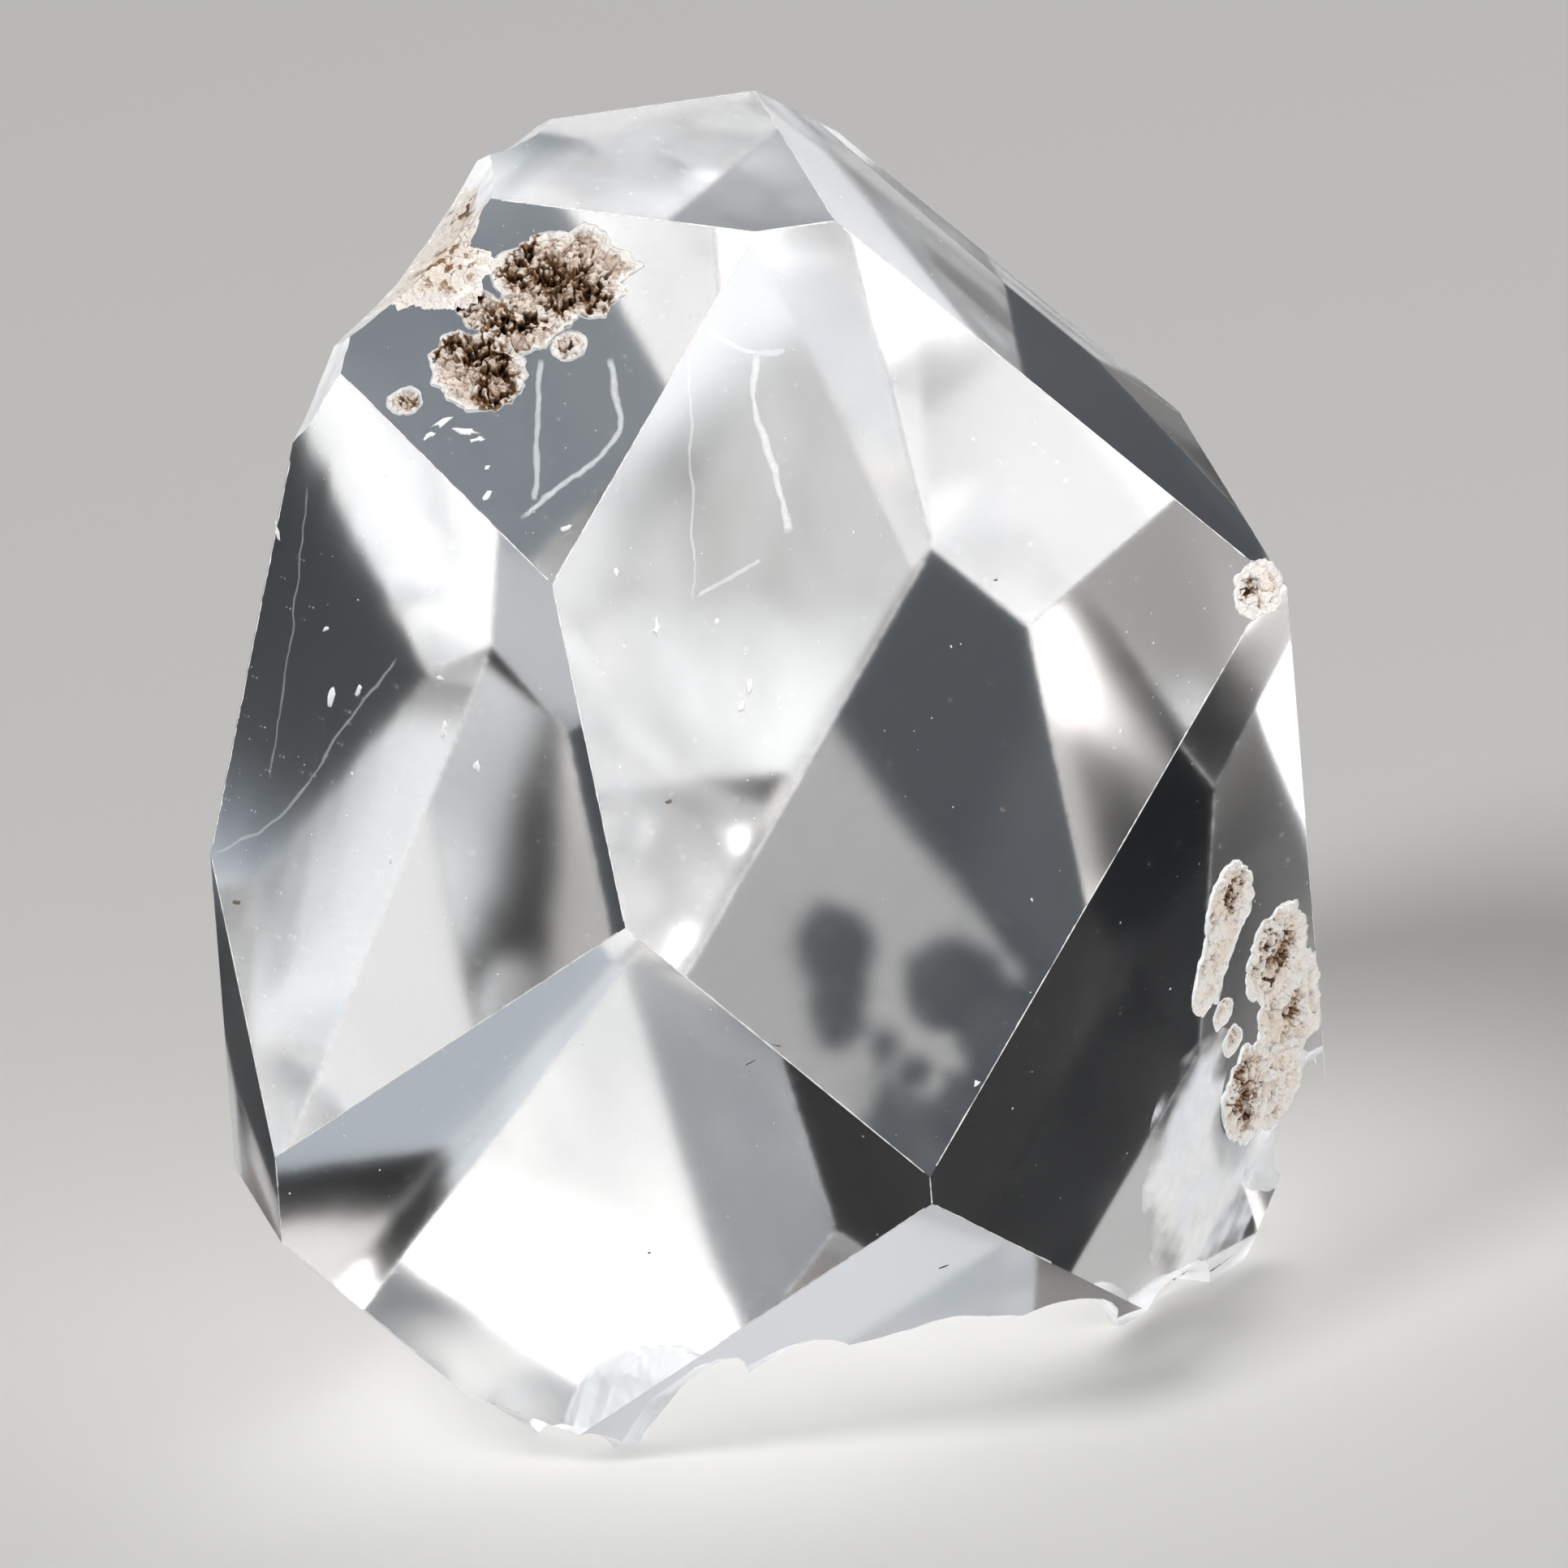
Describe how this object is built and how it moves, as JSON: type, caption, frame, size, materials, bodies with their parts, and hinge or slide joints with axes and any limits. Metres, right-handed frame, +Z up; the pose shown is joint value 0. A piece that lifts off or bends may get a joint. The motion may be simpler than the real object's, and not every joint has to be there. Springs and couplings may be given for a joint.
{
  "type": "herkimer diamond",
  "caption": "Clear, stubby quartz crystal with a point at each end, lying on its broken foot, with brown and cream dolomite crust left in pits of its faces.",
  "frame": {"origin": "below the middle of the crystal's box, on the surface that it lies on", "axes": "+Z up; +Y away from the viewer of the crystal's front, +X to the viewer's right. The crystal's long axis leans from upper left to lower right"},
  "size_m": [0.0246, 0.0264, 0.0294],
  "materials": {
    "clear_quartz": "polished",
    "dolomite": "matte"
  },
  "bodies": {
    "root": {"crystal": "clear_quartz", "upper_crust": "dolomite", "upper_grain_left": "dolomite", "upper_grain_right": "dolomite", "side_crust_inner": "dolomite", "side_crust_outer": "dolomite", "side_grain_upper": "dolomite", "side_grain_lower": "dolomite", "shoulder_crust": "dolomite", "edge_crust": "dolomite"}
  },
  "joints": []
}
